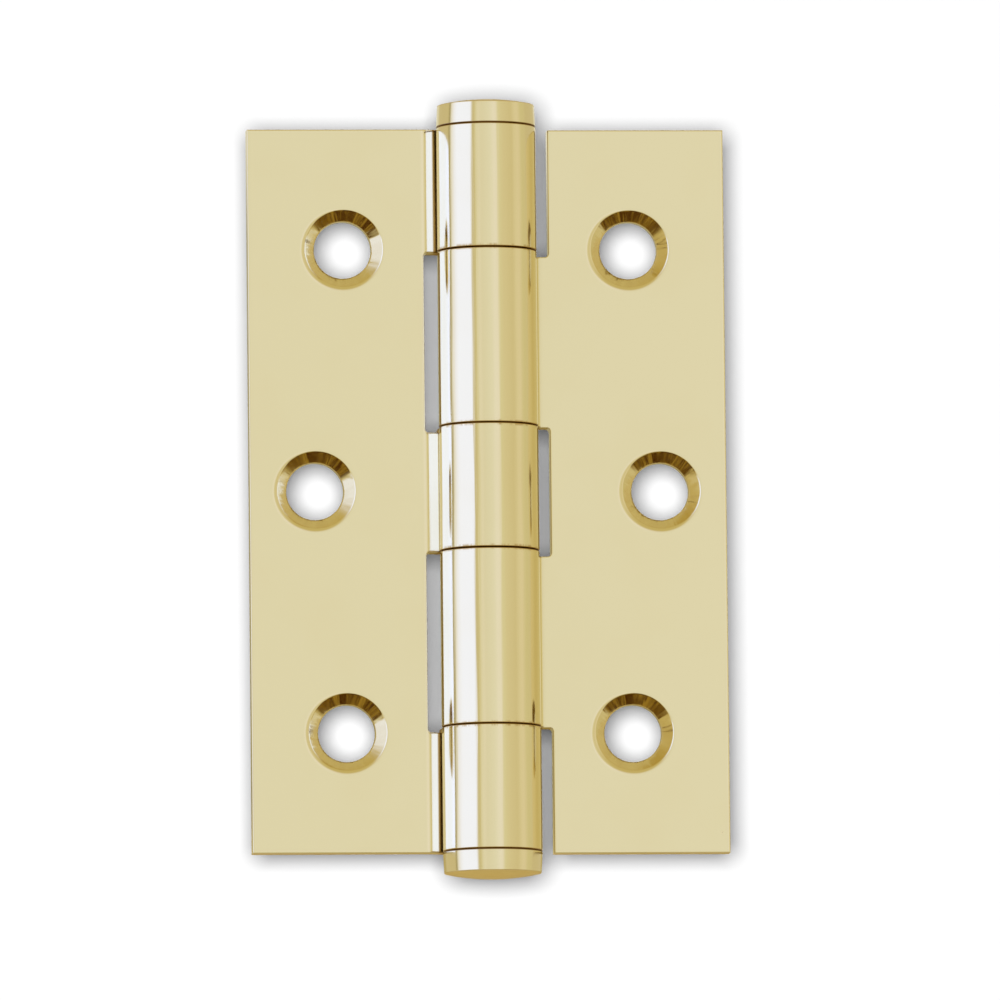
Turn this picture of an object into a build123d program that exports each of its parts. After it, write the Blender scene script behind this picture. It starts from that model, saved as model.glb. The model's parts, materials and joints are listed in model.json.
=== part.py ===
"""Five-knuckle butt hinge, opened flat.

The pin stands along +Z and the origin is on its axis at mid-height.
The door leaf lies towards +X, the frame leaf towards -X.
The countersunk faces look towards -Y.
Millimetres and degrees.
"""

import os
from math import acos, cos, degrees, radians, sin

from build123d import *

# Leaves
leaf_height = 76.0
open_width = 50.0
leaf_thickness = 2.2
# from the pin axis back to the countersunk faces, so half the gap between closed leaves
face_setback = 1.2

# Pin and rolled knuckles
pin_diameter = 5.9
pin_clearance = 0.05
pin_chamfer = 0.4
# slopes and inside radius of the bends where the leaves run back to their knuckles
frame_ramp_angle = 16.5
door_ramp_angle = 20.0
bend_radius = 0.3
# between the rolled edge and the face of the leaf
roll_gap = 0.3

# Knuckle rows, from the top: frame, door, frame, door, frame
end_knuckle_length = 13.0
middle_knuckle_length = 13.0
# a door knuckle is shorter than its row by both gaps; the lower one carries the door
row_gap_above = 0.25
row_gap_below = 0.06

# Cut-outs that clear the other leaf's knuckles
notch_clearance = 1.35
# a notch goes on this far below its row, beside the barrel
notch_relief = 0.4
notch_corner_radius = 0.3

# Countersunk screw holes
screw_hole_diameter = 6.0
countersink_diameter = 8.4
countersink_angle = 90.0
# from the top or bottom edge of the leaf, and from its free edge
hole_end_distance = 12.6
end_hole_edge_distance = 10.0
middle_hole_edge_distance = 6.9

# Button tips and their plugs
tip_height = 2.3
tip_crown = 0.55
tip_inset = 0.05
tip_edge_radius = 0.15
plug_length = 4.0
plug_clearance = 0.02
plug_chamfer = 0.4
# between the pin's end and a plug
pin_end_gap = 0.1

# Sizes that follow
bore_radius = pin_diameter / 2 + pin_clearance
barrel_radius = bore_radius + leaf_thickness
half_height = leaf_height / 2
free_edge = open_width / 2
notch_edge = barrel_radius + notch_clearance
outer_seam = half_height - end_knuckle_length
inner_seam = middle_knuckle_length / 2
# the door leaf hangs lower than the frame leaf by half the difference of its gaps
door_drop = (row_gap_above - row_gap_below) / 2
# cutters go this deep, and this far along the pin, to pass right through
cutter_depth = 4 * barrel_radius
past_end = leaf_height


def polar(radius, angle):
    """A point at that radius and angle from the pin axis."""
    return (radius * cos(radians(angle)), radius * sin(radians(angle)))


def leaf_profile(ramp_angle):
    """Section across a leaf that lies towards +X, from its free edge to the rolled end."""
    tangent = 90.0 - ramp_angle
    away = (cos(radians(tangent)), sin(radians(tangent)))
    back = face_setback + leaf_thickness
    # centre of the bend between the flat plate and the ramp
    centre_y = back + bend_radius
    centre_x = (barrel_radius + bend_radius - centre_y * away[1]) / away[0]
    outside = bend_radius + leaf_thickness
    ramp_front = (centre_x - outside * away[0], centre_y - outside * away[1])
    ramp_back = (centre_x - bend_radius * away[0], centre_y - bend_radius * away[1])
    # the roll goes on until its outer corner is one gap from the ramp
    roll_end = tangent - degrees(acos((bore_radius - roll_gap) / barrel_radius))
    roll_turn = 360.0 + roll_end - tangent
    edges = [
        Line((free_edge, face_setback), (centre_x, face_setback)),
        CenterArc((centre_x, centre_y), outside, 270, -ramp_angle),
        Line(ramp_front, polar(bore_radius, tangent)),
        CenterArc((0, 0), bore_radius, tangent, roll_turn),
        Line(polar(bore_radius, roll_end), polar(barrel_radius, roll_end)),
        CenterArc((0, 0), barrel_radius, tangent, roll_turn),
        Line(polar(barrel_radius, tangent), ramp_back),
        CenterArc((centre_x, centre_y), bend_radius, 270, -ramp_angle),
        Line((centre_x, back), (free_edge, back)),
        Line((free_edge, back), (free_edge, face_setback)),
    ]
    return make_face(edges)


def span_box(x0, x1, z0, z1):
    """A cutter between these places across and along the pin, through the whole depth."""
    centre = ((x0 + x1) / 2, 0, (z0 + z1) / 2)
    return Pos(*centre) * Box(x1 - x0, cutter_depth, z1 - z0)


def notch(z0, z1):
    """The cut-out for one knuckle of the other leaf, longer beside the plate than at the barrel."""
    beside = span_box(barrel_radius, notch_edge, z0 - notch_relief, z1)
    corners = beside.edges().filter_by(Axis.Y).group_by(Axis.X)[-1]
    beside = fillet(corners, notch_corner_radius)
    return beside + span_box(-cutter_depth, barrel_radius, z0, z1)


def screw_hole(x, z):
    """A straight hole with its countersink, drilled from the front."""
    front = Plane(origin=(x, face_setback, z), z_dir=(0, 1, 0))
    hole_radius = screw_hole_diameter / 2
    sink_radius = countersink_diameter / 2
    slope = cos(radians(countersink_angle / 2)) / sin(radians(countersink_angle / 2))
    sink_depth = (sink_radius - hole_radius) * slope
    base = (Align.CENTER, Align.CENTER, Align.MIN)
    drill = Cylinder(hole_radius, cutter_depth, align=base)
    sink = Cone(sink_radius, hole_radius, sink_depth, align=base)
    return front * (drill + sink)


def leaf(gaps, drop, ramp_angle):
    """A leaf towards +X with these rows cut out, let down by the drop."""
    blank = extrude(leaf_profile(ramp_angle), amount=leaf_height)
    body = Pos(0, 0, -half_height) * blank
    for z0, z1 in gaps:
        body -= notch(z0 + drop, z1 + drop)
    end_x = free_edge - end_hole_edge_distance
    middle_x = free_edge - middle_hole_edge_distance
    end_z = half_height - hole_end_distance
    for x, z in ((end_x, end_z), (middle_x, 0), (end_x, -end_z)):
        body -= screw_hole(x, z)
    return Pos(0, 0, -drop) * body


def pin():
    """The round pin between the two plugs, its ends chamfered."""
    length = leaf_height - 2 * (plug_length + pin_end_gap)
    rod = Cylinder(pin_diameter / 2, length)
    ends = rod.edges().filter_by(GeomType.CIRCLE)
    return chamfer(ends, pin_chamfer)


def tip():
    """The top button: crowned head, rounded rim, and a plug below."""
    head_radius = barrel_radius - tip_inset
    plug_radius = bore_radius - plug_clearance
    with BuildPart() as button:
        with BuildSketch(Plane.XZ):
            with BuildLine():
                Polyline(
                    (0, half_height + tip_height + tip_crown),
                    (0, half_height - plug_length),
                    (plug_radius - plug_chamfer, half_height - plug_length),
                    (plug_radius, half_height - plug_length + plug_chamfer),
                    (plug_radius, half_height),
                    (head_radius, half_height),
                    (head_radius, half_height + tip_height),
                )
                crown = (head_radius**2 + tip_crown**2) / (2 * tip_crown)
                RadiusArc(
                    (0, half_height + tip_height + tip_crown),
                    (head_radius, half_height + tip_height),
                    crown,
                )
            section = make_face()
            rim = section.vertices().group_by(Axis.X)[-1].sort_by(Axis.Y)[-1]
            fillet(rim, tip_edge_radius)
        revolve(axis=Axis.Z)
    return button.part


# rows that each leaf leaves to the other, as heights on the pin
frame_rows = [(inner_seam, outer_seam), (-outer_seam, -inner_seam)]
door_rows = [
    (outer_seam - row_gap_above, past_end),
    (-inner_seam - row_gap_above, inner_seam + row_gap_below),
    (-past_end, -outer_seam + row_gap_below),
]

frame_leaf = mirror(leaf(frame_rows, 0, frame_ramp_angle), about=Plane.YZ)
door_leaf = leaf(door_rows, door_drop, door_ramp_angle)
hinge_pin = pin()
top_tip = tip()
bottom_tip = mirror(top_tip, about=Plane.XY)

nodes = {
    "frame_leaf": frame_leaf,
    "door_leaf": door_leaf,
    "hinge_pin": hinge_pin,
    "top_tip": top_tip,
    "bottom_tip": bottom_tip,
}

os.makedirs("parts", exist_ok=True)
for name, shape in nodes.items():
    export_step(shape, f"parts/{name}.step")
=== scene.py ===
"""Looks of a five-knuckle brass butt hinge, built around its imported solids.

Metres, with the pin along +Z, the door leaf towards +X and the countersunk faces towards -Y.
Each leaf is cut as a flat blank and rolled to its section by a Geometry Nodes tree.
"""

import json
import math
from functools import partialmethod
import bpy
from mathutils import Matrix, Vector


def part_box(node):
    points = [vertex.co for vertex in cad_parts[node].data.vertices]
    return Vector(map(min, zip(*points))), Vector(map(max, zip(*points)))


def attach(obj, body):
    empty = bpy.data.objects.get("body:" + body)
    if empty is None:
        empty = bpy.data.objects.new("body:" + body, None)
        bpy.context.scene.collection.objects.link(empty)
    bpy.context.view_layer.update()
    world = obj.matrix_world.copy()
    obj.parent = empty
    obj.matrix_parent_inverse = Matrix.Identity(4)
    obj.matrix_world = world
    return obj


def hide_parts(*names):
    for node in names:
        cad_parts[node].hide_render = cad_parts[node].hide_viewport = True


bl_info = {
    "name": "Butt Hinge",
    "version": (1, 0, 0),
    "blender": (4, 5, 0),
    "location": "3D View > Sidebar > Hinge",
    "description": "Builds the leaves, tips, pin finish and stage of a brass butt hinge",
    "category": "Object",
}

from types import SimpleNamespace

import bmesh
import bpy
from bpy.props import FloatProperty, FloatVectorProperty, PointerProperty
from mathutils import Matrix, Vector
from mathutils.geometry import tessellate_polygon

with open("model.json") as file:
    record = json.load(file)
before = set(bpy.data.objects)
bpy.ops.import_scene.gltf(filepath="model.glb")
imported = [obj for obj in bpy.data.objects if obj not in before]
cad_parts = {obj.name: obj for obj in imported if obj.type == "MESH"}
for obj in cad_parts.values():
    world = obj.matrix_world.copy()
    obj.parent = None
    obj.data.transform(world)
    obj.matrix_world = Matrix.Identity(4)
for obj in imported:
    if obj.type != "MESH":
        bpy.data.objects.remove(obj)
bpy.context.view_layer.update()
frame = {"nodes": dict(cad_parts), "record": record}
MOUNTS = {mount["name"]: mount for mount in frame["record"]["mounts"]}
MILLIMETRE = 0.001

# painted shade, in the brown of old polish, shows behind the rolled edges from this height upwards
# and downwards
FRAME_LEAF = SimpleNamespace(node="frame_leaf", body="frame_side", side=-1, tuck_shade_from=0.024)
DOOR_LEAF = SimpleNamespace(node="door_leaf", body="door_side", side=1, tuck_shade_from=1.0)
# the frame leaf's knuckles reach both ends of the barrel
BARREL_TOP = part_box(FRAME_LEAF.node)[1].z
BARREL_RADIUS = -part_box(FRAME_LEAF.node)[0].y


def length(name, description, default):
    """A size in metres that a user may change."""
    return FloatProperty(
        name=name, description=description, default=default, precision=5, unit="LENGTH"
    )


def angle(name, description, degrees):
    """An angle that a user may change."""
    return FloatProperty(
        name=name, description=description, default=math.radians(degrees), subtype="ANGLE"
    )


def colour(name, description, default):
    """A linear colour that a user may change."""
    return FloatVectorProperty(
        name=name, description=description, default=default, size=3, subtype="COLOR"
    )


class HingeLeafSizes(bpy.types.PropertyGroup):
    """Sizes of the two rolled leaves that their boxes and mounts don't give."""

    sheet: length("Sheet", "Thickness of the brass sheet", 0.0022)
    frame_ramp: angle("Frame ramp", "Slope of the frame leaf down to its knuckles", 16.5)
    door_ramp: angle("Door ramp", "Slope of the door leaf down to its knuckles", 20)
    bend_radius: length("Bend radius", "Inside radius of the bend above the ramp", 0.0003)
    roll_gap: length("Roll gap", "Between the rolled edge and the face of the leaf", 0.0003)
    end_knuckle: length("End knuckle", "Length of the top and bottom knuckles", 0.013)
    middle_knuckle: length("Middle knuckle", "Length of the middle knuckle", 0.013)
    gap_above: length("Gap above", "Over each door knuckle, less the polish dried in it", 0.00008)
    gap_below: length("Gap below", "Under each door knuckle", 0.00006)
    notch_clearance: length("Notch clearance", "From the barrel to the plate beside it", 0.00135)
    notch_relief: length("Notch relief", "How far a notch goes on below its row", 0.0004)
    notch_corner: length("Notch corner", "Radius of the notch's inner corners", 0.00042)
    edge_round: length("Edge rounding", "How far the cut edges are rubbed round", 0.00014)
    sink_diameter: length("Countersink", "Diameter of a countersink at the face", 0.0084)
    sink_angle: angle("Countersink angle", "Between its sides, dished by polishing", 97)
    mouth_round: length("Mouth rounding", "How far polishing has rounded a mouth", 0.0002)
    sink_round: length("Hole rounding", "Rounding of a hole's other edges", 0.00006)
    chatter: length("Chatter", "Depth of the cutter's marks in a countersink", 0.000012)


class HingeTipSizes(bpy.types.PropertyGroup):
    """Sizes of the button tips that their boxes don't give."""

    crown: length("Crown", "Rise of the crowned end face", 0.00055)
    taper: length("Taper", "How much smaller in radius the rim is than the seat", 0.00012)
    rim_round: length("Rim rounding", "Radius of the rim", 0.00008)
    seat_round: length("Seat rounding", "Radius of the edge on the knuckle", 0.00018)
    plug_clearance: length("Plug clearance", "Between the plug and the bore", 0.00002)
    plug_chamfer: length("Plug chamfer", "Chamfer of the plug's end", 0.0004)


class HingeFinish(bpy.types.PropertyGroup):
    """Colours and polish of the metals."""

    brass: colour("Brass", "Polished brass", (0.860, 0.785, 0.520))
    rubbed: colour("Rubbed brass", "Brass where handling has dulled it", (0.834, 0.742, 0.458))
    # painted shade: the brown in which the seams and the slits behind the rolled edges are painted,
    # given as old polish
    seam_shade_brown: colour("Seam_shade_brown", "Old polish that has darkened in the seams", (0.420, 0.250, 0.050))
    sheared: colour("Sheared brass", "Dull brass on ends and tips' faces", (0.800, 0.690, 0.420))
    cut_brass: colour("Cut brass", "Bare brass in the countersinks", (0.800, 0.700, 0.400))
    cut_shade: colour("Cut shade", "Deeper brass in the cutter's marks", (0.690, 0.560, 0.280))
    steel: colour("Steel", "Ground steel of the pin", (0.300, 0.270, 0.220))
    # brown oil on the pin, and the painted shade at the tips' seat edges
    oil_and_seat_shade: colour("Oil_and_seat_shade", "Brown oil on the pin and under the tips", (0.220, 0.115, 0.025))


class HingeStage(bpy.types.PropertyGroup):
    """Where the camera stands and how the hinge is lit."""

    azimuth: angle("Azimuth", "Camera's turn about the pin, to the right of straight on", -4.33)
    elevation: angle("Elevation", "Camera's height above the horizon", -5.8)
    roll: angle("Roll", "Camera's turn about its own line of sight", -0.575)
    distance: length("Distance", "From the camera to the pin axis", 1.8)
    aim_right: length("Aim right", "How far right of the pin axis the camera looks", 0.00113)
    aim_down: length("Aim down", "How far below mid-height the camera looks", 0.00115)
    lens: FloatProperty(
        name="Lens", description="Focal length on a 36 mm sensor", default=620.15, unit="CAMERA"
    )
    backdrop_gap: length("Backdrop gap", "From the pin axis back to the backdrop", 0.028)
    backdrop_reach: length("Backdrop reach", "Half the width of the backdrop", 0.16)
    key_size: length("Key size", "Diameter of the soft light beside the camera", 0.26)
    backdrop: colour("Backdrop", "Pale backdrop behind the hinge", (0.95, 0.95, 0.95))


class Field:
    """A number in a node tree, which can be added, multiplied and so on."""

    def __init__(self, tree, socket):
        self.tree = tree
        self.socket = socket

    def math(self, operation, *others):
        return Field(self.tree, worked_out(self.tree, "Math", operation, self, *others))

    __add__ = partialmethod(math, "ADD")
    __sub__ = partialmethod(math, "SUBTRACT")
    __mul__ = partialmethod(math, "MULTIPLY")
    __truediv__ = partialmethod(math, "DIVIDE")
    size = partialmethod(math, "ABSOLUTE")
    sin = partialmethod(math, "SINE")
    cos = partialmethod(math, "COSINE")
    least = partialmethod(math, "MINIMUM")
    most = partialmethod(math, "MAXIMUM")

    def mapped(self, steps, **inputs):
        kind = {"interpolation_type": steps}
        node = add_node(self.tree, "ShaderNodeMapRange", kind, Value=self, **inputs)
        return Field(self.tree, node.outputs["Result"])

    def ramp(self, low, high):
        """0 below low, 1 above high and a smooth step between."""
        return self.mapped("SMOOTHSTEP", From_Min=low, From_Max=high)

    def between(self, low, high):
        """From 0..1 to low..high."""
        return self.mapped("LINEAR", To_Min=low, To_Max=high)


def feed(tree, socket, value):
    """Links a field or socket to the socket, or sets it to a plain value; colours have no alpha."""
    if isinstance(value, Field):
        value = value.socket
    if isinstance(value, bpy.types.NodeSocket):
        tree.links.new(value, socket)
    else:
        socket.default_value = (*value, 1.0) if socket.type == "RGBA" else value


def feed_inputs(tree, node, **inputs):
    """Feeds a node's inputs by name, with _ for a space."""
    for name, value in inputs.items():
        feed(tree, node.inputs[name.replace("_", " ")], value)


def add_node(tree, kind, settings=None, **inputs):
    """A new node with these settings and inputs."""
    node = tree.nodes.new(kind)
    for name, value in (settings or {}).items():
        setattr(node, name, value)
    feed_inputs(tree, node, **inputs)
    return node


def worked_out(tree, kind, operation, *values):
    """What a Math or VectorMath node makes of these values."""
    node = add_node(tree, "ShaderNode" + kind, {"operation": operation})
    for socket, value in zip(node.inputs, values):
        feed(tree, socket, value)
    return node.outputs[0]


def fields(tree, node):
    """All that a node puts out."""
    return [Field(tree, socket) for socket in node.outputs]


def axes(tree, vector):
    """The three parts of a vector."""
    return fields(tree, add_node(tree, "ShaderNodeSeparateXYZ", Vector=vector))


def new_tree(name, kind, inputs, outputs):
    """A node group with these {name: type} sockets, what is put in and what it is to put out."""
    tree = bpy.data.node_groups.new(name, kind)
    for in_out, sockets in (("INPUT", inputs), ("OUTPUT", outputs)):
        for label, socket in sockets.items():
            tree.interface.new_socket(label, in_out=in_out, socket_type="NodeSocket" + socket)
    entry = tree.nodes.new("NodeGroupInput")
    leave = tree.nodes.new("NodeGroupOutput")
    return tree, entry.outputs, leave.inputs


# Meshes

# how far from a rounding its holding points are
HOLD = 0.00012


def eased(path, rounds, steps):
    """A profile with its corners rounded, and a holding point on each side of a rounded corner.

    The first and last points of the path only give directions unless their rounding is None.
    """
    points = []
    for i, (corner, radius) in enumerate(zip(path, rounds)):
        corner = Vector(corner)
        if radius is None:
            points.append(corner)
            continue
        if radius == 0:
            continue
        before = (corner - Vector(path[i - 1])).normalized()
        after = (Vector(path[i + 1]) - corner).normalized()
        start = corner - before * radius
        end = corner + after * radius
        points.append(start - before * HOLD)
        for step in range(steps + 1):
            t = step / steps
            points.append(start * (1 - t) ** 2 + corner * 2 * t * (1 - t) + end * t**2)
        points.append(end + after * HOLD)
    return points


def skin(bm, rings):
    """Faces between each closed ring and the next, which has as many vertices or is a pole."""
    for first, second in zip(rings, rings[1:]):
        count = max(len(first), len(second))
        for i in range(count):
            j = (i + 1) % count
            corners = [first[i % len(first)], first[j % len(first)]]
            corners += [second[j % len(second)], second[i % len(second)]]
            bm.faces.new(list(dict.fromkeys(corners)))


def closed_mesh(bm, name):
    """The finished mesh with its faces outwards and shaded smooth."""
    bmesh.ops.recalc_face_normals(bm, faces=bm.faces)
    for face in bm.faces:
        face.smooth = True
    mesh = bpy.data.meshes.new(name)
    bm.to_mesh(mesh)
    bm.free()
    return mesh


def new_object(name, data):
    """An object at the origin with this data."""
    made = bpy.data.objects.new(name, data)
    bpy.context.scene.collection.objects.link(made)
    return made


# Leaves

HOLE_SEGMENTS = 144
MOUTH_STEPS = 4
EDGE_STEPS = 4
CORNER_STEPS = 6
ROLL_STEP = math.radians(2.5)
BEND_STEPS = 10
# an outline's corner is sharp, and a wall is square to the pin, by these cosines
SHARP_BELOW = 0.9
SQUARE_ABOVE = 0.9
# how unevenly the mop has rounded a countersink's mouth
MOUTH_LEAN = 0.45
# flats round a countersink as (count, phase, weight), their shift in radians per metre of height,
# and where down the cone they stop fading
CHATTER = ((13, 0.4, 0.5), (19, 2.1, 0.3), (7, 4.4, 0.2))
CHATTER_SHIFT = 40
CHATTER_FADE = 0.8
# beyond the barrel, where the painted shade on the ramp starts and where it covers it
TUCK_START = 0.0004
TUCK_FULL = 0.00025
# it ends over this much of the roll, in radians, and at these depths of the sheet
TUCK_ROLL = (0.02, 0.0)
TUCK_DEPTH = (-0.0005, -0.001)
# how far beyond the barrel the painted shade in a seam fades, and how steeply at the wall's edge
SEAM_FADE = 0.0003
WALL_GAIN = 20.0
# how much shorter than the rest the frame knuckles' rolled edges are, at top and bottom
ROLL_SHORT = ((0.00014, 0.00003), (-0.0001, -0.0001), (0.00005, 0.00015))


def leaf_section(sizes, leaf):
    """The section of a leaf: how far along the sheet each stretch starts, and its angles."""
    ramp_angle = sizes.frame_ramp if leaf is FRAME_LEAF else sizes.door_ramp
    slope = (math.sin(ramp_angle), math.cos(ramp_angle))
    back = MOUNTS[leaf.node + "_back"]["pos_m"][1]
    centre_y = back + sizes.bend_radius
    centre_x = (BARREL_RADIUS + sizes.bend_radius - centre_y * slope[1]) / slope[0]
    bend_middle = sizes.bend_radius + sizes.sheet / 2
    roll_middle = BARREL_RADIUS - sizes.sheet / 2
    bore = BARREL_RADIUS - sizes.sheet
    bend = bend_middle * ramp_angle
    ramp = centre_x * slope[1] - centre_y * slope[0]
    turn = 2 * math.pi - math.acos((bore - sizes.roll_gap) / BARREL_RADIUS)

    def place(x, depth):
        """How far along the flat blank the sheet passes this x, at a depth from its middle."""
        reach = bend_middle - depth
        ramp_start = centre_x - reach * slope[0]
        if x >= centre_x:
            return x
        if x > ramp_start:
            return centre_x - bend_middle * math.asin((centre_x - x) / reach)
        return centre_x - bend - (ramp_start - x) / slope[1]

    return SimpleNamespace(
        ramp_angle=ramp_angle,
        half=sizes.sheet / 2,
        back=back,
        bend_start=centre_x,
        ramp_start=centre_x - bend,
        roll_start=centre_x - bend - ramp,
        roll_end=centre_x - bend - ramp - roll_middle * turn,
        turn=turn,
        place=place,
    )


def knuckle_rows(sizes, leaf):
    """Top and bottom of each knuckle of a leaf, from the top."""
    outer = BARREL_TOP - sizes.end_knuckle
    inner = sizes.middle_knuckle / 2
    if leaf is FRAME_LEAF:
        return [(BARREL_TOP, outer), (inner, -inner), (-outer, -BARREL_TOP)]
    upper = (outer - sizes.gap_above, inner + sizes.gap_below)
    return [upper, (-inner - sizes.gap_above, -outer + sizes.gap_below)]


def blank_outline(sizes, leaf, section):
    """Corners of the flat blank as (along, height, rounding, notch, root), from the free edge.

    Root marks where a knuckle's strip leaves the plate. Notch marks walls that stay square to the
    leaf, with their finished x in place of how far along the blank they are.
    """
    low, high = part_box(leaf.node)
    root = section.place(BARREL_RADIUS, 0) - sizes.edge_round - HOLD
    notch_x = BARREL_RADIUS + sizes.notch_clearance
    free = max(high.x, -low.x)
    corners = [(free, low.z, 0, False, None), (free, high.z, 0, False, None)]
    rows = knuckle_rows(sizes, leaf)
    shortened = ROLL_SHORT if leaf is FRAME_LEAF else [(0.0, 0.0)] * len(rows)
    for (top, bottom), (short_top, short_bottom) in zip(rows, shortened):
        sides = []
        for end, limit, relief, short in (
            (top, high.z, sizes.notch_relief, short_top),
            (bottom, low.z, 0.0, short_bottom),
        ):
            if abs(end - limit) < HOLD:
                walk = [(root, limit, 0, False, True)]
            else:
                # a notch goes on below its row, so a knuckle stands up from the plate beside it
                walk = [(notch_x, end - relief, sizes.notch_corner, True, None)]
                walk.append((BARREL_RADIUS, end - relief, 0, True, True))
                if relief:
                    walk.append((BARREL_RADIUS, end, 0, True, None))
            walk.append((section.roll_end + short, end, 0, False, None))
            sides.append(walk)
        corners += sides[0] + sides[1][::-1]
    if rows[0][0] < high.z - HOLD:
        corners.insert(2, (notch_x, high.z, 0, True, None))
        corners.append((notch_x, low.z, 0, True, None))
    return corners


def rounded_outline(corners):
    """The corners with their rounding worked out, as points with notch, root and sharp marks."""
    points = []
    for i, (along, height, radius, notch, root) in enumerate(corners):
        here = Vector((along, height))
        if radius == 0:
            points.append(SimpleNamespace(at=here, notch=notch, root=root))
            continue
        before = (Vector(corners[i - 1][:2]) - here).normalized()
        after = (Vector(corners[(i + 1) % len(corners)][:2]) - here).normalized()
        centre = here + (before + after) * radius
        for step in range(CORNER_STEPS + 1):
            turn = math.pi / 2 * step / CORNER_STEPS
            at = centre - (after * math.cos(turn) + before * math.sin(turn)) * radius
            points.append(SimpleNamespace(at=at, notch=notch, root=None))
    for i, point in enumerate(points):
        first = (point.at - points[i - 1].at).normalized()
        second = (points[(i + 1) % len(points)].at - point.at).normalized()
        normals = [Vector((edge.y, -edge.x)) for edge in (first, second)]
        cosine = normals[0].dot(normals[1])
        point.inward = (normals[0] + normals[1]) / (1 + cosine)
        point.sharp = cosine < SHARP_BELOW
    if sum(a.at.cross(b.at) for a, b in zip(points, points[1:] + points[:1])) > 0:
        for point in points:
            point.inward = -point.inward
    return points


def chatter_wave(turn):
    """Uneven flats left round a countersink by its cutter, from -1 to 1."""
    wave = 0.0
    for count, start, weight in CHATTER:
        phase = (count * turn + start) / (2 * math.pi) % 1
        wave += weight * (4 * abs(phase - 0.5) - 1)
    return wave


def countersunk_hole(bm, sizes, leaf, centre, radius, layers):
    """The walls of one screw hole; gives the rings that it leaves in the front and back faces."""
    half = sizes.sheet / 2
    mouth = sizes.sink_diameter / 2
    cone_end = -half + (mouth - radius) / math.tan(sizes.sink_angle / 2)
    path = [(2 * mouth, -half), (mouth, -half), (radius, cone_end)]
    path += [(radius, half), (2 * mouth, half)]
    edge = sizes.sink_round
    columns = []
    for i in range(HOLE_SEGMENTS):
        turn = 2 * math.pi * i / HOLE_SEGMENTS
        across, up = math.cos(turn), math.sin(turn)
        # the mop has rounded the mouth most at the lower left
        mouth_round = sizes.mouth_round * (1 - MOUTH_LEAN * (leaf.side * across + up))
        column = []
        for distance, depth in eased(path, [0, mouth_round, edge, edge, 0], MOUTH_STEPS):
            sunk = min(max((depth + half) / (cone_end + half), 0), 1)
            shake = sizes.chatter * math.sin(math.pi * min(sunk, CHATTER_FADE))
            reach = distance + shake * chatter_wave(turn + centre.x + centre.y * CHATTER_SHIFT)
            vertex = bm.verts.new((centre.x + reach * across, depth, centre.y + reach * up))
            vertex[layers.turn] = (across, up, sunk)
            column.append(vertex)
        columns.append(column)
    rings = list(zip(*columns))
    before = len(bm.faces)
    skin(bm, rings)
    bm.faces.ensure_lookup_table()
    # the mouth is polished with the face; the last strip is the holding ring in the back
    start = before + (1 + MOUTH_STEPS) * HOLE_SEGMENTS
    for face in bm.faces[start : len(bm.faces) - HOLE_SEGMENTS]:
        face[layers.cut] = 1
    return rings[0], rings[-1]


def screw_places(leaf):
    """Centre and radius of each screw hole on the flat of a leaf, from the mounts."""
    ends = MOUNTS[leaf.node + "_end_screws"]
    middle = MOUNTS[leaf.node + "_middle_screw"]
    reach = ends["dims"]["spacing_y_mm"] * MILLIMETRE / 2
    end_radius = ends["dims"]["hole_r_mm"] * MILLIMETRE
    x, _, z = ends["pos_m"]
    places = [(Vector((abs(x), z + shift)), end_radius) for shift in (reach, -reach)]
    x, _, z = middle["pos_m"]
    return places + [(Vector((abs(x), z)), middle["dims"]["r_mm"] * MILLIMETRE)]


def fill_face(bm, ring, points, holes):
    """Fills one side of the blank: a strip for each knuckle, triangles for the plate."""
    roots = [i for i, point in enumerate(points) if point.root]
    plate = list(range(len(points)))
    for start, end in zip(roots[::2], roots[1::2]):
        bm.faces.new([ring[i] for i in range(start, end + 1)])
        plate = [i for i in plate if not start < i < end]
    loops = [[ring[i] for i in plate], *holes]
    vertices = [vertex for loop in loops for vertex in loop]
    flat = [[Vector((vertex.co.x, vertex.co.z, 0)) for vertex in loop] for loop in loops]
    for corners in tessellate_polygon(flat):
        bm.faces.new([vertices[i] for i in corners])


def cut_across(bm, section):
    """Cuts the blank into narrow strips where it will be bent and rolled."""
    bend = section.ramp_start - section.bend_start
    roll = section.roll_end - section.roll_start
    steps = math.ceil(section.turn / ROLL_STEP)
    places = [section.bend_start + bend * (i / BEND_STEPS) for i in range(BEND_STEPS + 1)]
    for beyond in (TUCK_START, TUCK_FULL):
        places.append(section.place(BARREL_RADIUS + beyond, -section.half))
    places += [section.roll_start + roll * i / steps for i in range(steps)]
    for place in places:
        everything = bm.verts[:] + bm.edges[:] + bm.faces[:]
        bmesh.ops.bisect_plane(
            bm, geom=everything, dist=1e-7, plane_co=(place, 0, 0), plane_no=(1, 0, 0)
        )


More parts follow.
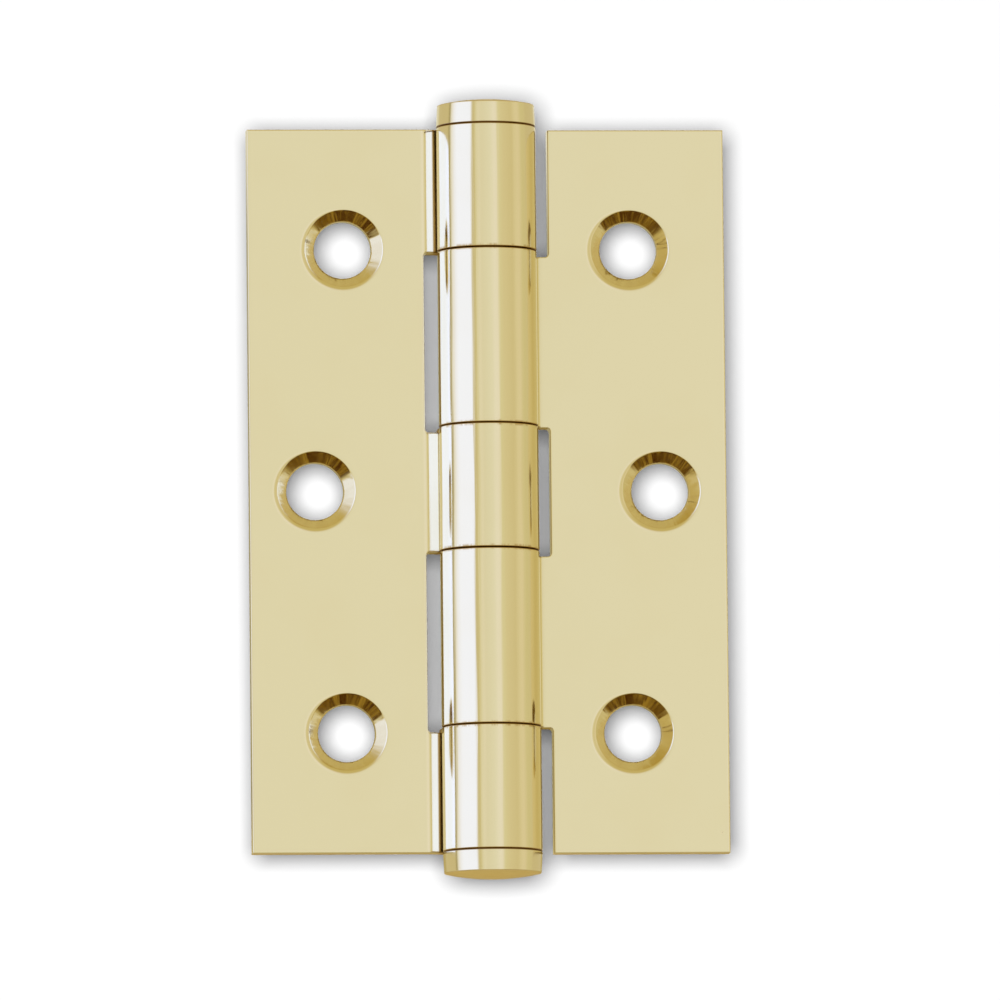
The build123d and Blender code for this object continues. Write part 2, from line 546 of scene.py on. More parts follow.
def leaf_blank(sizes, leaf, section):
    """The flat blank of a leaf: along X, thickness on Y with the front at -Y, and height on Z."""
    bm = bmesh.new()
    layers = SimpleNamespace(
        turn=bm.verts.layers.float_vector.new("sink_turn"),
        worn=bm.verts.layers.float.new("worn_edge"),
        wall=bm.verts.layers.float.new("wall"),
        cut=bm.faces.layers.int.new("cut_face"),
        sheared=bm.faces.layers.int.new("sheared_face"),
    )
    points = rounded_outline(blank_outline(sizes, leaf, section))
    half = sizes.sheet / 2
    path = [(1, -half), (0, -half), (0, half), (1, half)]
    edge = sizes.edge_round
    rings = []
    for inset, depth in eased(path, [0, edge, edge, 0], EDGE_STEPS):
        on_edge = inset < 0.99 * edge
        ring = []
        for point in points:
            at = point.at + point.inward * inset
            along = section.place(at.x, depth) if point.notch else at.x
            vertex = bm.verts.new((along, depth, at.y))
            vertex[layers.worn] = float(on_edge and abs(depth) > half - edge)
            vertex[layers.wall] = float(on_edge and at.x > section.roll_start)
            ring.append(vertex)
        rings.append(ring)
    skin(bm, rings)
    for first, second in zip(rings, rings[1:]):
        for point, corner, next_corner in zip(points, first, second):
            bm.edges.get((corner, next_corner)).smooth = not point.sharp
    for face in bm.faces:
        face.normal_update()
        middle = face.calc_center_median()
        square = abs(face.normal.z) > SQUARE_ABOVE
        face[layers.sheared] = int(square and abs(middle.y) < half - edge)
    holes = [
        countersunk_hole(bm, sizes, leaf, centre, radius, layers)
        for centre, radius in screw_places(leaf)
    ]
    fill_face(bm, rings[0], points, [front for front, _ in holes])
    fill_face(bm, rings[-1], points, [back for _, back in holes])
    cut_across(bm, section)
    return closed_mesh(bm, leaf.node + "_blank")


def roll_tree():
    """The tree that bends a flat blank, slides it down its ramp and rolls its end round the pin."""
    numbers = ("Sheet", "Back", "Barrel Radius", "Bend Radius", "Ramp Angle", "Side", "Polish From")
    finishes = ("Polish", "Cut", "Sheared")
    kinds = {"Blank": "Geometry", **dict.fromkeys(numbers, "Float")}
    kinds.update(dict.fromkeys(finishes, "Material"))
    tree, given, result = new_tree("roll_leaf", "GeometryNodeTree", kinds, {"Leaf": "Geometry"})

    def step(kind, settings=None, **inputs):
        """What the next step of the tree puts out."""
        return add_node(tree, "GeometryNode" + kind, settings, **inputs).outputs[0]

    def named(name, kind):
        """What the blank has stored under that name."""
        node = add_node(tree, "GeometryNodeInputNamedAttribute", {"data_type": kind}, Name=name)
        return Field(tree, node.outputs["Attribute"])

    def stored(geometry, name, value):
        """The geometry with a value stored at its points."""
        kind = {"data_type": "FLOAT", "domain": "POINT"}
        return step("StoreNamedAttribute", kind, Geometry=geometry, Name=name, Value=value)

    sheet, back, barrel, bend, slope, side, tuck_shade_from = (
        Field(tree, given[name]) for name in numbers
    )
    along, depth, height = axes(tree, step("InputPosition"))

    slope_sin = slope.sin()
    slope_cos = slope.cos()
    centre_y = back + bend
    centre_x = (barrel + bend - centre_y * slope_cos) / slope_sin
    bend_middle = bend + sheet / 2.0
    roll_middle = barrel - sheet / 2.0
    bend_length = bend_middle * slope
    ramp_length = centre_x * slope_cos - centre_y * slope_sin
    gone = centre_x - along
    turned = gone.most(0.0).least(bend_length) / bend_middle
    before = gone.least(0.0)
    slid = (gone - bend_length).most(0.0).least(ramp_length)
    rolled = (gone - bend_length - ramp_length).most(0.0) / roll_middle
    reach = bend_middle - depth
    x = centre_x - reach * turned.sin() - before - slid * slope_cos
    y = centre_y - reach * turned.cos() + slid * slope_sin
    round_x = (x * rolled.cos() - y * rolled.sin()) * side
    round_y = x * rolled.sin() + y * rolled.cos()
    place = add_node(tree, "ShaderNodeCombineXYZ", X=round_x, Y=round_y, Z=height)

    # how far a spot is into the roll, for the finish
    share_rolled = (gone / (bend_length + ramp_length)).most(0.0).least(1.0)
    leaf = stored(given["Blank"], "rolled", share_rolled)
    # painted shade, in the brown of old polish, in the seams between the knuckles and behind the
    # rolled edge
    seam = (named("wall", "FLOAT") * WALL_GAIN).least(1.0) * x.ramp(barrel + SEAM_FADE, barrel)
    far_up = height.size().math("GREATER_THAN", tuck_shade_from)
    # painted shade on the ramp's face in the slit under the rolled edge
    on_ramp = x.ramp(barrel + TUCK_START, barrel + TUCK_FULL) * rolled.ramp(*TUCK_ROLL)
    tucked_shade = on_ramp * depth.ramp(*TUCK_DEPTH) * far_up
    leaf = stored(leaf, "seam", seam.most(tucked_shade))
    leaf = step("SetPosition", Geometry=leaf, Position=place.outputs[0])
    leaf = step("FlipFaces", Mesh=leaf, Selection=side.math("LESS_THAN", 0.0))
    leaf = step("RealizeInstances", Geometry=leaf)
    leaf = step("SetMaterial", Geometry=leaf, Material=given["Polish"])
    for name, mark in (("Cut", "cut_face"), ("Sheared", "sheared_face")):
        chosen = named(mark, "INT")
        leaf = step("SetMaterial", Geometry=leaf, Material=given[name], Selection=chosen)
    feed(tree, result["Leaf"], leaf)
    return tree


def set_inputs(modifier, **values):
    """Sets a modifier's tree inputs by the sockets' names, with _ for a space."""
    for item in modifier.node_group.interface.items_tree:
        name = item.name.replace(" ", "_")
        if item.in_out == "INPUT" and name in values:
            modifier[item.identifier] = values[name]


def made_plain(piece):
    """Turns a piece's modifiers into a plain mesh."""
    graph = bpy.context.evaluated_depsgraph_get()
    mesh = bpy.data.meshes.new_from_object(
        piece.evaluated_get(graph), preserve_all_data_layers=True, depsgraph=graph
    )
    mesh.name = piece.name
    piece.modifiers.clear()
    piece.data = mesh


class HINGE_OT_leaves(bpy.types.Operator):
    """Cut, roll and finish the two leaves"""

    bl_idname = "hinge.leaves"
    bl_label = "Rolled Leaves"

    def execute(self, context):
        sizes = context.scene.hinge_leaf_sizes
        tree = roll_tree()
        finish = context.scene.hinge_finish
        seams = (BARREL_TOP - sizes.end_knuckle, sizes.middle_knuckle / 2)
        polish = polished_brass("leaf_polished_brass", finish, ALONG_PIN, seams)
        cut = cut_brass("countersink_cut_brass", finish)
        sheared = sheared_brass("leaf_sheared_brass", finish)
        for leaf in (FRAME_LEAF, DOOR_LEAF):
            section = leaf_section(sizes, leaf)
            piece = new_object(leaf.node + "_rolled", leaf_blank(sizes, leaf, section))
            roll = piece.modifiers.new("Roll", "NODES")
            roll.node_group = tree
            set_inputs(
                roll,
                Sheet=sizes.sheet,
                Back=section.back,
                Barrel_Radius=BARREL_RADIUS,
                Bend_Radius=sizes.bend_radius,
                Ramp_Angle=section.ramp_angle,
                Side=float(leaf.side),
                Polish_From=leaf.tuck_shade_from,
            )
            set_inputs(roll, Polish=polish, Cut=cut, Sheared=sheared)
            made_plain(piece)
            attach(piece, leaf.body)
            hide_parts(leaf.node)
        return {"FINISHED"}


# Tips

TIP_SEGMENTS = 160
RIM_STEPS = 5
CROWN_STEPS = 10
# how much of the taper the seat stands out, and how much of its rounding the painted seat shade
# covers
SEAT_SHARE = 0.4
SEAT_SHADE_SHARE = 0.9


def tip_profile(sizes, sheet):
    """Radius and height of the top tip's turned outline, from the plug's end to the crown."""
    low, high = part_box("top_tip")
    seat_radius = high.x + sizes.taper * SEAT_SHARE
    head = seat_radius - sizes.taper
    rim = high.z - sizes.crown
    plug = BARREL_RADIUS - sheet - sizes.plug_clearance
    path = [
        (0, low.z),
        (plug - sizes.plug_chamfer, low.z),
        (plug, low.z + sizes.plug_chamfer),
        (plug, BARREL_TOP),
        (seat_radius, BARREL_TOP),
        (head, rim),
        (0, high.z),
    ]
    rounds = [None, None, None, None, sizes.seat_round, sizes.rim_round, 0]
    profile = eased(path, rounds, RIM_STEPS)
    # the crown is a shallow arc from the last point of the rim to the axis
    edge = profile[-1]
    radius = (head**2 + sizes.crown**2) / (2 * sizes.crown)
    for step in range(1, CROWN_STEPS + 1):
        out = edge.x * (1 - step / CROWN_STEPS)
        drop = radius - math.sqrt(radius**2 - out**2)
        profile.append(Vector((out, high.z - drop)))
    return profile


def turned_mesh(name, profile, seat_round, flip):
    """A profile turned about the pin axis; flip stands it on its head."""
    bm = bmesh.new()
    seam = bm.verts.layers.float.new("seam")
    rings = []
    for radius, height in profile:
        ring = []
        for i in range(TIP_SEGMENTS if radius > 0 else 1):
            turn = 2 * math.pi * i / TIP_SEGMENTS
            x, y = radius * math.cos(turn), radius * math.sin(turn)
            vertex = bm.verts.new((x, y, height * flip))
            # painted shade on the seat's rounding, next to the knuckle
            vertex[seam] = float(abs(height - BARREL_TOP) < SEAT_SHADE_SHARE * seat_round)
            ring.append(vertex)
        rings.append(ring)
    skin(bm, rings)
    bm.faces.ensure_lookup_table()
    # the crown and its rim are left duller than the side
    dull_rings = CROWN_STEPS + 1 + RIM_STEPS
    for face in bm.faces[-dull_rings * TIP_SEGMENTS :]:
        face.material_index = 1
    return closed_mesh(bm, name)


class HINGE_OT_tips(bpy.types.Operator):
    """Turn and finish the two button tips"""

    bl_idname = "hinge.tips"
    bl_label = "Button Tips"

    def execute(self, context):
        sizes = context.scene.hinge_tip_sizes
        profile = tip_profile(sizes, context.scene.hinge_leaf_sizes.sheet)
        finish = context.scene.hinge_finish
        polish = polished_brass("tip_turned_brass", finish, ROUND_PIN)
        crown = sheared_brass("tip_crown_brass", finish)
        for node, flip in (("top_tip", 1), ("bottom_tip", -1)):
            mesh = turned_mesh(node + "_turned", profile, sizes.seat_round, flip)
            piece = new_object(node + "_turned", mesh)
            mesh.materials.append(polish)
            mesh.materials.append(crown)
            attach(piece, FRAME_LEAF.body)
            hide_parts(node)
        return {"FINISHED"}


class HINGE_OT_pin(bpy.types.Operator):
    """Give the pin its ground and oiled steel"""

    bl_idname = "hinge.pin"
    bl_label = "Pin Finish"

    def execute(self, context):
        pin = frame["nodes"]["hinge_pin"]
        steel = ground_steel("pin_ground_steel", context.scene.hinge_finish)
        pin.data.materials.clear()
        pin.data.materials.append(steel)
        return {"FINISHED"}


# Finishes

# marks per metre across and along the pin
ALONG_PIN = (5200.0, 5200.0, 160.0)
ROUND_PIN = (420.0, 420.0, 5200.0)
DRAWN = (900.0, 900.0, 25.0)
CUTTER_LINES = (3000.0, 600.0, 3000.0)
DRAG_LINES = (2500.0, 900.0, 2500.0)
GROUND_LINES = (300.0, 300.0, 6000.0)
BRASS_PITS = 330.0
PIT_CHANCE = 0.93
# how large smudges are on each metal
BRASS_SMUDGE = 0.009
SHEARED_SMUDGE = 0.003
STEEL_SMUDGE = 0.006
# depths of the marks, and how near a seam the painted patches of shade reach
SWELL = 0.00016
FLUTE = 0.000016
BUFFED = 0.0000012
CUTTER = 0.000012
DRAG = 0.000003
GRINDING = 0.000002
SEAM_PATCH_REACH = (0.0004, 0.0001)
SHEARED_TINT = (0.75, 0.62, 0.34)


def attribute(tree, name, output="Fac"):
    """What the mesh has stored under that name."""
    node = add_node(tree, "ShaderNodeAttribute", {"attribute_name": name})
    return Field(tree, node.outputs[output])


def noise(tree, place, scale, detail, roughness=0.5):
    """Soft noise about a half."""
    node = add_node(
        tree, "ShaderNodeTexNoise", Vector=place, Scale=scale, Detail=detail, Roughness=roughness
    )
    return Field(tree, node.outputs["Fac"])


def mixed(tree, amount, first, second):
    """The first colour turning to the second by the amount."""
    node = add_node(tree, "ShaderNodeMix", {"data_type": "RGBA"}, Factor=amount, A=first, B=second)
    return node.outputs["Result"]


def bump(tree, height, distance, under=None):
    """A bump of that many metres, over another one."""
    node = add_node(tree, "ShaderNodeBump", Height=height, Distance=distance)
    if under:
        feed(tree, node.inputs["Normal"], under)
    return node.outputs["Normal"]


def placed_group(tree, name, build, kinds, outputs, **inputs):
    """What a shader group puts out in a tree; the group is built when it is first asked for."""
    group = bpy.data.node_groups.get(name)
    if not group:
        numbers = dict.fromkeys(outputs, "Float")
        group, given, result = new_tree(name, "ShaderNodeTree", kinds, numbers)
        for output, value in zip(outputs, build(group, given)):
            feed(group, result[output], value)
    return fields(tree, add_node(tree, "ShaderNodeGroup", {"node_tree": group}, **inputs))


def smudges(tree, place, size):
    """Soft patches where a surface has been handled, and slow waves in it."""

    def build(group, given):
        grown = worked_out(group, "VectorMath", "DIVIDE", given["Vector"], given["Size"])
        return noise(group, grown, 1.0, 3.0, 0.55).ramp(0.42, 0.72), noise(group, grown, 0.8, 0.0)

    kinds = {"Vector": "Vector", "Size": "Float"}
    outputs = ("Smudge", "Wave")
    return placed_group(tree, "handling_smudges", build, kinds, outputs, Vector=place, Size=size)


def buffing(tree, place, lines, pits=0.0):
    """Fine lines that a polishing mop leaves, longer along one direction, and a few pits."""

    def build(group, given):
        spot = given["Vector"]
        spread = given["Lines per Metre"]
        stretched = worked_out(group, "VectorMath", "MULTIPLY", spot, spread)
        cells = add_node(group, "ShaderNodeTexVoronoi", Vector=spot, Scale=given["Pits per Metre"])
        chance = add_node(group, "ShaderNodeSeparateColor", Color=cells.outputs["Color"])
        rare = Field(group, chance.outputs[0]).math("GREATER_THAN", PIT_CHANCE)
        near = Field(group, cells.outputs["Distance"]).ramp(0.06, 0.015)
        return noise(group, stretched, 1.0, 3.0, 0.7), near * rare

    kinds = {"Vector": "Vector", "Lines per Metre": "Vector", "Pits per Metre": "Float"}
    values = {"Vector": place, "Lines_per_Metre": lines, "Pits_per_Metre": pits}
    return placed_group(tree, "buffing_marks", build, kinds, ("Lines", "Pits"), **values)


def metal(name):
    """A metal's material, its tree and its object coordinates."""
    material = bpy.data.materials.new(name)
    material.use_nodes = True
    tree = material.node_tree
    return material, tree, add_node(tree, "ShaderNodeTexCoord").outputs["Object"]


def surfaced(tree, shade, roughness, normal):
    """Feeds a metal's principled shader."""
    shader = tree.nodes["Principled BSDF"]
    feed_inputs(tree, shader, Base_Color=shade, Metallic=1.0, Roughness=roughness, Normal=normal)
    return shader


def polished_brass(name, finish, lines_per_metre, seams=None):
    """Polished brass with smudges, buffing lines, pits and rubbed edges.

    With the heights of its seams, above and below the middle, it has the marks of rolled knuckles.
    """
    material, tree, place = metal(name)
    smudge, wave = smudges(tree, place, BRASS_SMUDGE)
    lines, pits = buffing(tree, place, lines_per_metre, BRASS_PITS)
    edge = attribute(tree, "worn_edge")
    # painted shade: the seams and the tips' seat edges, as the mesh marks them
    seam_shading = attribute(tree, "seam")
    if seams:
        rolled = attribute(tree, "rolled")
        flutes, _ = buffing(tree, place, DRAWN)
        swell = bump(tree, wave * rolled.between(0.06, 1.0), SWELL)
        form = bump(tree, flutes * rolled, FLUTE, swell)
        # painted shade in patches beside the seams, in the brown of old polish
        height = axes(tree, place)[2].size()
        apart = [(height - seam_height).size() for seam_height in seams]
        dried = apart[0].least(apart[1]).ramp(*SEAM_PATCH_REACH) * flutes.ramp(0.46, 0.6)
        seam_shading = seam_shading.most(dried * rolled.ramp(0.9, 1.0) * 0.7)
    else:
        form = bump(tree, wave, SWELL)
    dulled = smudge * 0.22 + lines * 0.08 + pits * 0.5 + edge * 0.2
    clean = mixed(tree, dulled, finish.brass, finish.rubbed)
    # painted shade: a darker brown in the leaves' seams and at the tips' seat edges
    shade = mixed(tree, seam_shading, clean, finish.seam_shade_brown if seams else finish.oil_and_seat_shade)
    rough = smudge.between(0.085, 0.12) + lines * 0.03 + pits * 0.2 + edge * 0.06 + seam_shading * 0.2
    surfaced(tree, shade, rough, bump(tree, lines * 0.3 - pits * 3.0, BUFFED, form))
    return material


def cut_brass(name, finish):
    """Bare brass cut by the countersink, with the cutter's marks running down the cone."""
    material, tree, place = metal(name)
    turn = attribute(tree, "sink_turn", "Vector")
    spread = worked_out(tree, "VectorMath", "MULTIPLY", turn, (4.5, 4.5, 0.5))
    shifted = worked_out(tree, "VectorMath", "MULTIPLY_ADD", place, (90.0, 90.0, 90.0), spread)
    flat = noise(tree, shifted, 1.0, 1.0, 0.6).ramp(0.38, 0.62)
    lines, _ = buffing(tree, place, CUTTER_LINES)
    shade = mixed(tree, flat * 0.2 + lines * 0.15, finish.cut_brass, finish.cut_shade)
    surfaced(tree, shade, lines.between(0.07, 0.14), bump(tree, flat + lines * 0.1, CUTTER))
    return material


def sheared_brass(name, finish):
    """Dull brass with fine drag marks, and painted shade in the seams in the brown of old polish.
    """
    material, tree, place = metal(name)
    smudge, _ = smudges(tree, place, SHEARED_SMUDGE)
    lines, _ = buffing(tree, place, DRAG_LINES)
    clean = mixed(tree, smudge * 0.3 + lines * 0.25, finish.sheared, finish.cut_shade)
    # painted shade in the seams at the knuckles' ends
    shade = mixed(tree, attribute(tree, "seam"), clean, finish.seam_shade_brown)
    shader = surfaced(tree, shade, lines.between(0.24, 0.4), bump(tree, lines, DRAG))
    feed_inputs(tree, shader, Specular_Tint=SHEARED_TINT)
    return material


def ground_steel(name, finish):
    """The pin's steel, ground round its axis, with a film of oil in patches."""
    material, tree, place = metal(name)
    smudge, _ = smudges(tree, place, STEEL_SMUDGE)
    lines, _ = buffing(tree, place, GROUND_LINES)
    shade = mixed(tree, smudge * 0.2 + lines * 0.2 + 0.55, finish.steel, finish.oil_and_seat_shade)
    rough = smudge.between(0.34, 0.2) + lines * 0.08
    surfaced(tree, shade, rough, bump(tree, lines, GRINDING))
    return material


# Stage

# what the metal sees round it, by degrees to the right of straight ahead of its countersunk faces
STUDIO = (
    (-180, (0.76, 0.71, 0.54)),
    (-150, (0.78, 0.74, 0.62)),
    (-115, (0.80, 0.77, 0.66)),
    (-108, (0.44, 0.38, 0.20)),
    (-97, (0.44, 0.38, 0.20)),
    (-93, (0.90, 0.90, 0.98)),
    (-88, (0.95, 0.98, 1.25)),
    (-84, (0.99, 1.06, 1.50)),
    (-76, (1.04, 1.14, 1.72)),
    (-40.5, (1.04, 1.14, 1.72)),
    (-36, (0.68, 0.61, 0.40)),
    (-33.5, (0.63, 0.56, 0.34)),
    (-30, (0.73, 0.67, 0.45)),
    (-26, (0.81, 0.78, 0.65)),
    (-21, (0.85, 0.82, 0.75)),
    (-16, (0.81, 0.78, 0.68)),
    (-8, (0.82, 0.80, 0.71)),
    (4, (0.845, 0.833, 0.765)),
    (14, (0.90, 0.88, 0.88)),
    (20, (0.89, 0.86, 0.85)),
    (25, (0.77, 0.73, 0.52)),
    (35, (0.75, 0.68, 0.47)),
    (57, (0.71, 0.63, 0.41)),
    (67, (0.78, 0.71, 0.51)),
    (75, (0.80, 0.72, 0.54)),
    (87, (0.70, 0.64, 0.40)),
    (100, (0.69, 0.62, 0.39)),
    (125, (0.73, 0.69, 0.48)),
    (160, (0.74, 0.67, 0.51)),
)
# the bright panel on the left, mirrored twice, and where it ends in degrees of turn and height
PANEL = (1.2, 1.46, 3.2)
PANEL_LEFT = (-98.0, -90.0)
PANEL_RIGHT = (-27.0, -33.0)
PANEL_FOOT = (-14.0, -6.0)
# the room below the panel's front half, and just over the floor's shade
BELOW_PANEL = (0.73, 0.67, 0.45)
WARM_LEFT = (-74.0, -62.0)
WARM_RIGHT = (-36.0, -40.0)
WARM_OVER_SHADE = (8.0, 2.0)
# the floor's shade in degrees below the horizon: its top straight ahead, how much higher it is at
# the sides and lower at the right, and its top and slant when mirrored twice
SHADE_TOP = 58.0
SHADE_SIDES = 31.5
SHADE_SLANT = 5.0
TWICE_TOP = 29.0
TWICE_SLANT = 3.0
SHADE_EDGE = (4.0, -4.0)
# it is under the hinge alone, by how far ahead a direction points
SHADE_AHEAD = (0.45, 0.32)
# the floor and what stands on it, and the ceiling
BELOW = (0.066, 0.020, 0.001)
BELOW_GLINT = (0.41, 0.265, 0.045)
GLINTS = (0.44, 0.63)
ABOVE = (0.62, 0.51, 0.23)
CEILING = (16.0, 54.0)
BLACK = (0.0, 0.0, 0.0)
WHITE = (1.0, 1.0, 1.0)
# painted reflection, as the backdrop glows for mirrored rays alone: mirrored twice, aslant, and
# straight behind it by height, darker as a painted shadow where the hinge stands before it
BEHIND_TWICE = (0.21, 0.14, 0.025)
BEHIND_ASLANT = (0.66, 0.58, 0.37)
BEHIND = (
    (-0.060, (0.84, 0.77, 0.56)),
    (-0.046, (0.80, 0.72, 0.50)),
    (-0.040, (0.52, 0.42, 0.18)),
    (-0.036, (0.52, 0.42, 0.18)),
    (-0.030, (0.36, 0.30, 0.14)),
    (0.030, (0.42, 0.38, 0.24)),
    (0.040, (0.78, 0.74, 0.59)),
)
# the slants over which that comes in, and over which the camera loses sight of the backdrop
ASLANT = (0.1, 0.2)
HIDDEN = (0.03, 0.06)
LAMP_LIGHT = 36.1
LAMP_ASIDE = 0.022
SENSOR = 36.0
DEGREES = 180 / math.pi


def toned(tree, amount, stops):
    """A colour that follows the amount through these (place, colour) stops."""
    first = stops[0][0]
    span = stops[-1][0] - first
    node = add_node(tree, "ShaderNodeValToRGB", Fac=(amount - first) / span)
    elements = node.color_ramp.elements
    elements[0].color = (*stops[0][1], 1.0)
    elements[-1].color = (*stops[-1][1], 1.0)
    for place, shade in stops[1:-1]:
        elements.new((place - first) / span).color = (*shade, 1.0)
    return node.outputs["Color"]


def mirrored_again(tree, seen):
    """1 for what the metal shows in a second mirroring, by its light path."""
    return (Field(tree, seen.outputs["Glossy Depth"]) - 1.0).most(0.0).least(1.0)


def studio_world(world):
    """Soft studio surroundings for the metal, and plain white behind everything."""
    world.use_nodes = True
    tree = world.node_tree
    tree.nodes.clear()
    direction = add_node(tree, "ShaderNodeTexCoord").outputs["Generated"]
    x, y, z = axes(tree, direction)
    turn = x.math("ARCTAN2", y * -1.0) * DEGREES
    height = z.math("ARCSINE") * DEGREES
    seen = add_node(tree, "ShaderNodeLightPath")
    again = mirrored_again(tree, seen)
    # the floor is dark only under the hinge; mirrored once, that shade starts higher at the sides
    aside = x / (x * x + y * y).math("SQRT").most(0.0001)
    once = aside.size() * SHADE_SIDES - aside * SHADE_SLANT - SHADE_TOP
    twice = aside * TWICE_SLANT - TWICE_TOP
    over_shade = height - (once + (twice - once) * again)
    shade = over_shade.ramp(*SHADE_EDGE) * y.size().ramp(*SHADE_AHEAD).most(again)
    low = height.ramp(*reversed(PANEL_FOOT))
    front_half = turn.ramp(*WARM_LEFT) * turn.ramp(*WARM_RIGHT)
    warm = (low * front_half).most(over_shade.ramp(*WARM_OVER_SHADE))
    around = mixed(tree, warm, toned(tree, turn, STUDIO), BELOW_PANEL)
    panel = turn.ramp(*PANEL_LEFT) * turn.ramp(*PANEL_RIGHT) * again * height.ramp(*PANEL_FOOT)
    lit = mixed(tree, panel, around, PANEL)
    open_light = mixed(tree, height.ramp(*CEILING), lit, ABOVE)
    floor = mixed(tree, noise(tree, direction, 12.0, 2.5).ramp(*GLINTS), BELOW, BELOW_GLINT)
    light = mixed(tree, shade, open_light, floor)
    # the metal doesn't throw this light on the backdrop
    kept = mixed(tree, seen.outputs["Diffuse Depth"], light, BLACK)
    shown = mixed(tree, seen.outputs["Is Camera Ray"], kept, WHITE)
    background = add_node(tree, "ShaderNodeBackground", Color=shown, Strength=1.0)
    output = add_node(tree, "ShaderNodeOutputWorld")
    feed(tree, output.inputs["Surface"], background.outputs[0])
    # the metal mirrors the surroundings; the lamp lights the backdrop
    world.cycles_visibility.diffuse = False


def blend(tree, amount, first, second):
    """A mix of two shaders by the amount."""
    node = add_node(tree, "ShaderNodeMixShader", Fac=amount)
    feed(tree, node.inputs[1], first.outputs[0])
    feed(tree, node.inputs[2], second.outputs[0])
    return node


def backdrop_material(shade):
    """Matt paper that shows only from straight in front, so that it hides nothing in other views.

    The metal mirrors a painted reflection in its place, a warm glow with a painted shadow behind
    the hinge, as the photographed hinge does.
    """
    material = bpy.data.materials.new("backdrop_paper")
    material.use_nodes = True
    tree = material.node_tree
    tree.nodes.remove(tree.nodes["Principled BSDF"])
    place = add_node(tree, "ShaderNodeTexCoord").outputs["Object"]
    paper = mixed(tree, noise(tree, place, 40.0, 2.0) * 0.02, shade, WHITE)
    matt = add_node(tree, "ShaderNodeBsdfDiffuse", Color=paper)
    layer = add_node(tree, "ShaderNodeLayerWeight", Blend=0.5)
    aslant = Field(tree, layer.outputs["Facing"])
    straight = toned(tree, axes(tree, place)[2], BEHIND)
    once = mixed(tree, aslant.ramp(*ASLANT), straight, BEHIND_ASLANT)
    seen = add_node(tree, "ShaderNodeLightPath")
    behind = mixed(tree, mirrored_again(tree, seen), once, BEHIND_TWICE)
    fresh = Field(tree, seen.outputs["Diffuse Depth"]).least(1.0).between(1.0, 0.0)
    # painted reflection: a glow that only the metal's mirrored rays see, not a lamp
    warm = add_node(tree, "ShaderNodeEmission", Color=behind, Strength=fresh)
    clear = add_node(tree, "ShaderNodeBsdfTransparent")
    geometry = add_node(tree, "ShaderNodeNewGeometry")
    front = blend(tree, seen.outputs["Is Glossy Ray"], matt, warm)
    hidden = aslant.ramp(*HIDDEN) * Field(tree, seen.outputs["Is Camera Ray"])
    shown = blend(tree, hidden.most(Field(tree, geometry.outputs["Backfacing"])), front, clear)
    feed(tree, tree.nodes["Material Output"].inputs["Surface"], shown.outputs[0])
    material.cycles.emission_sampling = "NONE"
    return material


def backdrop_sheet(stage):
    """A flat backdrop behind the hinge, facing the countersunk side."""
    reach = stage.backdrop_reach
    corners = ((-reach, -reach), (reach, -reach), (reach, reach), (-reach, reach))
    mesh = bpy.data.meshes.new("backdrop")
    mesh.from_pydata([(x, stage.backdrop_gap, z) for x, z in corners], [], [(0, 1, 2, 3)])
    mesh.materials.append(backdrop_material(stage.backdrop))
    sheet = new_object("backdrop", mesh)


def camera_axes(stage):
    """The camera's right, up and backward directions."""
    turn, rise, roll = stage.azimuth, stage.elevation, stage.roll
    x, y = math.cos(turn), math.sin(turn)
    level = Vector((x, y, 0))
    back = Vector((y * math.cos(rise), -x * math.cos(rise), math.sin(rise)))
    raised = back.cross(level)
    right = level * math.cos(roll) + raised * math.sin(roll)
    up = raised * math.cos(roll) - level * math.sin(roll)
    return right, up, back


def place_camera(stage):
    """The camera at the photographed angle."""
    right, up, back = camera_axes(stage)
    data = bpy.data.cameras.new("camera")
    data.lens = stage.lens
    data.sensor_width = SENSOR
    data.clip_start = 0.01
    data.clip_end = 10.0
    camera = new_object("camera", data)
    where = back * stage.distance + right * stage.aim_right - up * stage.aim_down
    turned = Matrix((right, up, back)).transposed().to_4x4()
    camera.matrix_world = Matrix.Translation(where) @ turned
    bpy.context.scene.camera = camera


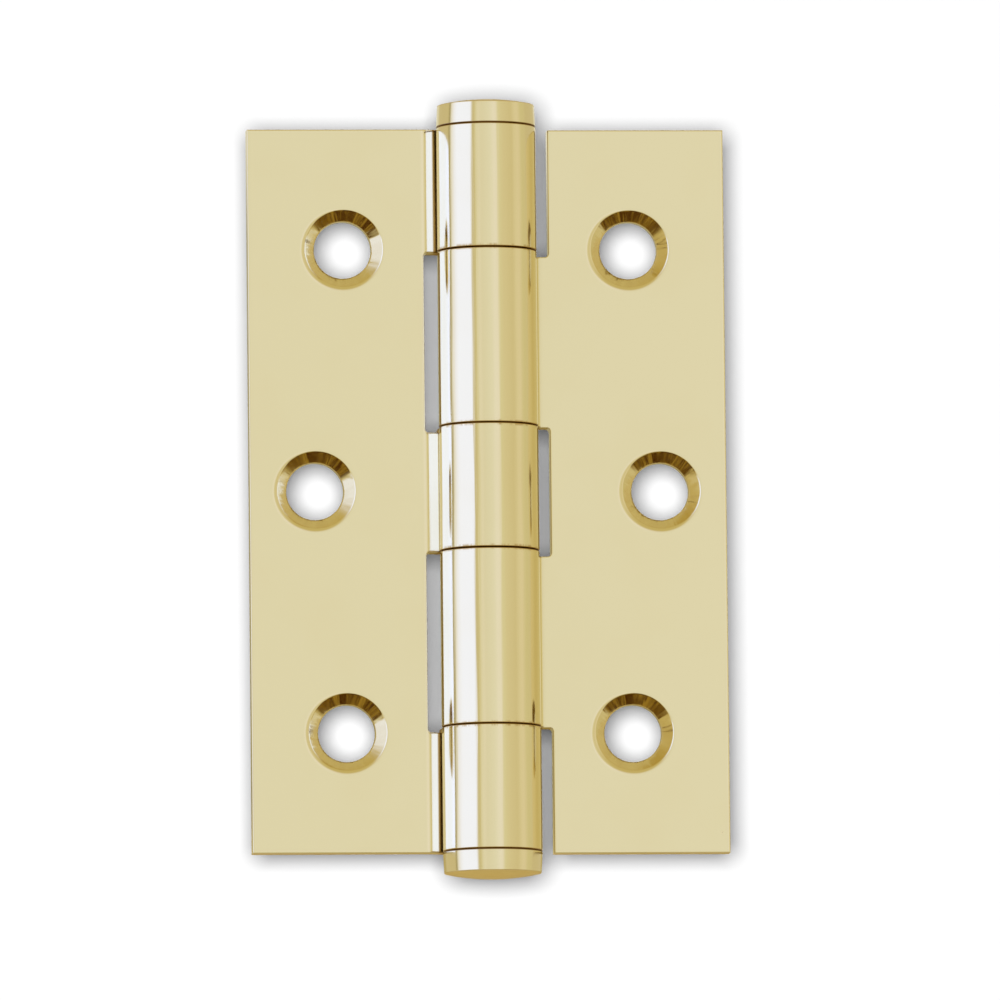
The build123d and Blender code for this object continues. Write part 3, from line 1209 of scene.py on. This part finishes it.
def soft_lamp(name, where, size, power):
    """A round soft light that looks at the hinge; the metal doesn't mirror it."""
    data = bpy.data.lights.new(name, "AREA")
    data.shape = "DISK"
    data.size = size
    data.energy = power
    lamp = new_object(name, data)
    turned = where.to_track_quat("Z", "Y").to_matrix().to_4x4()
    lamp.matrix_world = Matrix.Translation(where) @ turned
    lamp.visible_glossy = False
    lamp.visible_camera = False


class HINGE_OT_stage(bpy.types.Operator):
    """Set the camera, backdrop and light"""

    bl_idname = "hinge.stage"
    bl_label = "Stage"

    def execute(self, context):
        scene = context.scene
        stage = scene.hinge_stage
        place_camera(stage)
        backdrop_sheet(stage)
        right, up, back = camera_axes(stage)
        # beside the camera, so that the hinge's shadow shows a little at its right and below it
        beside = back * stage.distance + (up - right) * LAMP_ASIDE
        soft_lamp("key_light", beside, stage.key_size, LAMP_LIGHT)
        scene.world = scene.world or bpy.data.worlds.new("studio")
        studio_world(scene.world)
        scene.view_settings.view_transform = "Standard"
        return {"FINISHED"}


class HINGE_PT_pieces(bpy.types.Panel):
    """The hinge's pieces in the sidebar"""

    bl_idname = "HINGE_PT_pieces"
    bl_label = "Butt Hinge"
    bl_space_type = "VIEW_3D"
    bl_region_type = "UI"
    bl_category = "Hinge"

    def draw(self, context):
        for operator in OPERATORS:
            self.layout.operator(operator.bl_idname)
        for name, group in SETTINGS.items():
            box = self.layout.box()
            for setting in group.__annotations__:
                box.prop(getattr(context.scene, name), setting)


OPERATORS = (HINGE_OT_leaves, HINGE_OT_tips, HINGE_OT_pin, HINGE_OT_stage)
SETTINGS = {
    "hinge_leaf_sizes": HingeLeafSizes,
    "hinge_tip_sizes": HingeTipSizes,
    "hinge_finish": HingeFinish,
    "hinge_stage": HingeStage,
}


def register():
    for group in (*SETTINGS.values(), *OPERATORS, HINGE_PT_pieces):
        bpy.utils.register_class(group)
    for name, group in SETTINGS.items():
        setattr(bpy.types.Scene, name, PointerProperty(type=group))


def unregister():
    for name in SETTINGS:
        delattr(bpy.types.Scene, name)
    for group in (HINGE_PT_pieces, *OPERATORS, *SETTINGS.values()):
        bpy.utils.unregister_class(group)


def main():
    register()
    bpy.ops.hinge.leaves()
    bpy.ops.hinge.tips()
    bpy.ops.hinge.pin()
    bpy.ops.hinge.stage()


if __name__ == "__main__":
    main()
